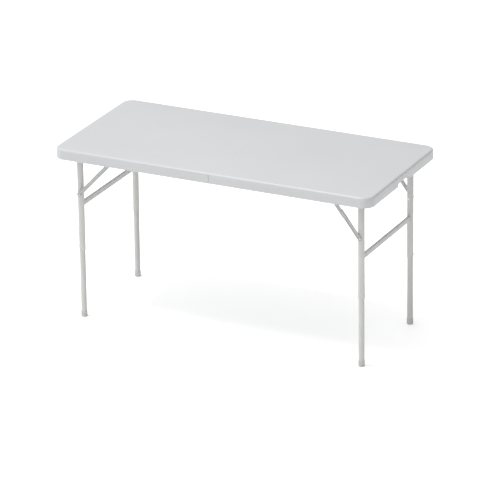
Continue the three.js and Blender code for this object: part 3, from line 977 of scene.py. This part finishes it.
for end, _ in ENDS:
    for place, side in SIDES:
        leg = f"{end}_{place}"
        leg_link_piece(leg, side)
        rail_link_piece(leg, side)
        brace_fasteners(end, leg, side)


# ---------------------------------------------------------------- floor, light and camera

SKY_LOW = 0.3
SKY_HIGH = 1.36
SKY_TOWARDS = Vector((-0.35, -0.15, 0.92)).normalized()
FLOOR_GLOW = 0.22
FLOOR_REACH = 30.0
SOFTBOX_PLACE = Vector((-2.9, -2.2, 9.4))
SOFTBOX_SIZE = (1.6, 3.4)
SOFTBOX_WATTS = 500
CAMERA_AZIMUTH = 26.2543
CAMERA_ELEVATION = 21.517
CAMERA_ROLL = -0.7432
CAMERA_DISTANCE = 16.2507
CAMERA_TARGET = Vector((0, 0, 0.4))
CAMERA_LENS = 293.6
CAMERA_SHIFT = (0.0091, -0.0458)


def floor():
    """A wide, level, pale floor with a faint glow, which keeps shadows light."""
    size = FLOOR_REACH
    mesh = bpy.data.meshes.new("floor")
    corners = [(-size, -size, 0), (size, -size, 0), (size, size, 0), (-size, size, 0)]
    mesh.from_pydata(corners, [], [(0, 1, 2, 3)])
    obj = bpy.data.objects.new("floor", mesh)
    bpy.context.scene.collection.objects.link(obj)
    nodes = Nodes("pale_floor")
    color = nodes.mix(nodes.noise(0.8, 2), (0.93, 0.93, 0.93), (0.95, 0.95, 0.95))
    rough = nodes.between(nodes.noise(2, 2), 0.85, 0.95)
    normal = nodes.bump(nodes.noise(300, 2), 0.1 * MM, 0.2)
    nodes.shader.inputs["Emission Color"].default_value = (1, 1, 1, 1)
    nodes.shader.inputs["Emission Strength"].default_value = FLOOR_GLOW
    obj.data.materials.append(nodes.finish(color, rough, normal, specular=0.1))


def world():
    """A soft sky: even all round, and brighter above the front left."""
    sky = bpy.data.worlds.new("studio")
    sky.use_nodes = True
    tree = sky.node_tree
    background = tree.nodes["Background"]
    background.inputs["Color"].default_value = (1, 1, 1, 1)
    place = tree.nodes.new("ShaderNodeTexCoord")
    facing = tree.nodes.new("ShaderNodeVectorMath")
    facing.operation = "DOT_PRODUCT"
    facing.inputs[1].default_value = SKY_TOWARDS
    tree.links.new(place.outputs["Generated"], facing.inputs[0])
    spread = tree.nodes.new("ShaderNodeMapRange")
    spread.interpolation_type = "SMOOTHSTEP"
    spread.inputs["From Min"].default_value = 0.0
    spread.inputs["From Max"].default_value = 1.0
    spread.inputs["To Min"].default_value = SKY_LOW
    spread.inputs["To Max"].default_value = SKY_HIGH
    tree.links.new(facing.outputs["Value"], spread.inputs["Value"])
    tree.links.new(spread.outputs["Result"], background.inputs["Strength"])
    bpy.context.scene.world = sky


def softbox():
    """A long studio light above the front left, which draws a bright line on the front edge."""
    light = bpy.data.lights.new("softbox", "AREA")
    light.shape = "RECTANGLE"
    light.size, light.size_y = SOFTBOX_SIZE
    light.energy = SOFTBOX_WATTS
    back = (SOFTBOX_PLACE - Vector((0, 0, TOP))).normalized()
    level = Vector((back.z, 0, -back.x)).normalized()
    obj = bpy.data.objects.new("softbox", light)
    turn = Matrix((level, back.cross(level), back)).transposed().to_4x4()
    obj.matrix_world = Matrix.Translation(SOFTBOX_PLACE) @ turn
    bpy.context.scene.collection.objects.link(obj)


def camera():
    """The view from the front right, from above, through a long lens."""
    azimuth = math.radians(CAMERA_AZIMUTH)
    elevation = math.radians(CAMERA_ELEVATION)
    roll = math.radians(CAMERA_ROLL)
    back = Vector((
        math.sin(azimuth) * math.cos(elevation),
        -math.cos(azimuth) * math.cos(elevation),
        math.sin(elevation),
    ))
    level = Vector((math.cos(azimuth), math.sin(azimuth), 0))
    upright = back.cross(level)
    right = math.cos(roll) * level + math.sin(roll) * upright
    up = -math.sin(roll) * level + math.cos(roll) * upright
    data = bpy.data.cameras.new("camera")
    data.lens = CAMERA_LENS
    data.sensor_width = 36
    data.shift_x, data.shift_y = CAMERA_SHIFT
    data.clip_end = 100
    obj = bpy.data.objects.new("camera", data)
    turn = Matrix((right, up, back)).transposed().to_4x4()
    obj.matrix_world = Matrix.Translation(CAMERA_TARGET + back * CAMERA_DISTANCE) @ turn
    bpy.context.scene.collection.objects.link(obj)
    bpy.context.scene.camera = obj


floor()
world()
softbox()
camera()
bpy.context.scene.view_settings.view_transform = "Standard"
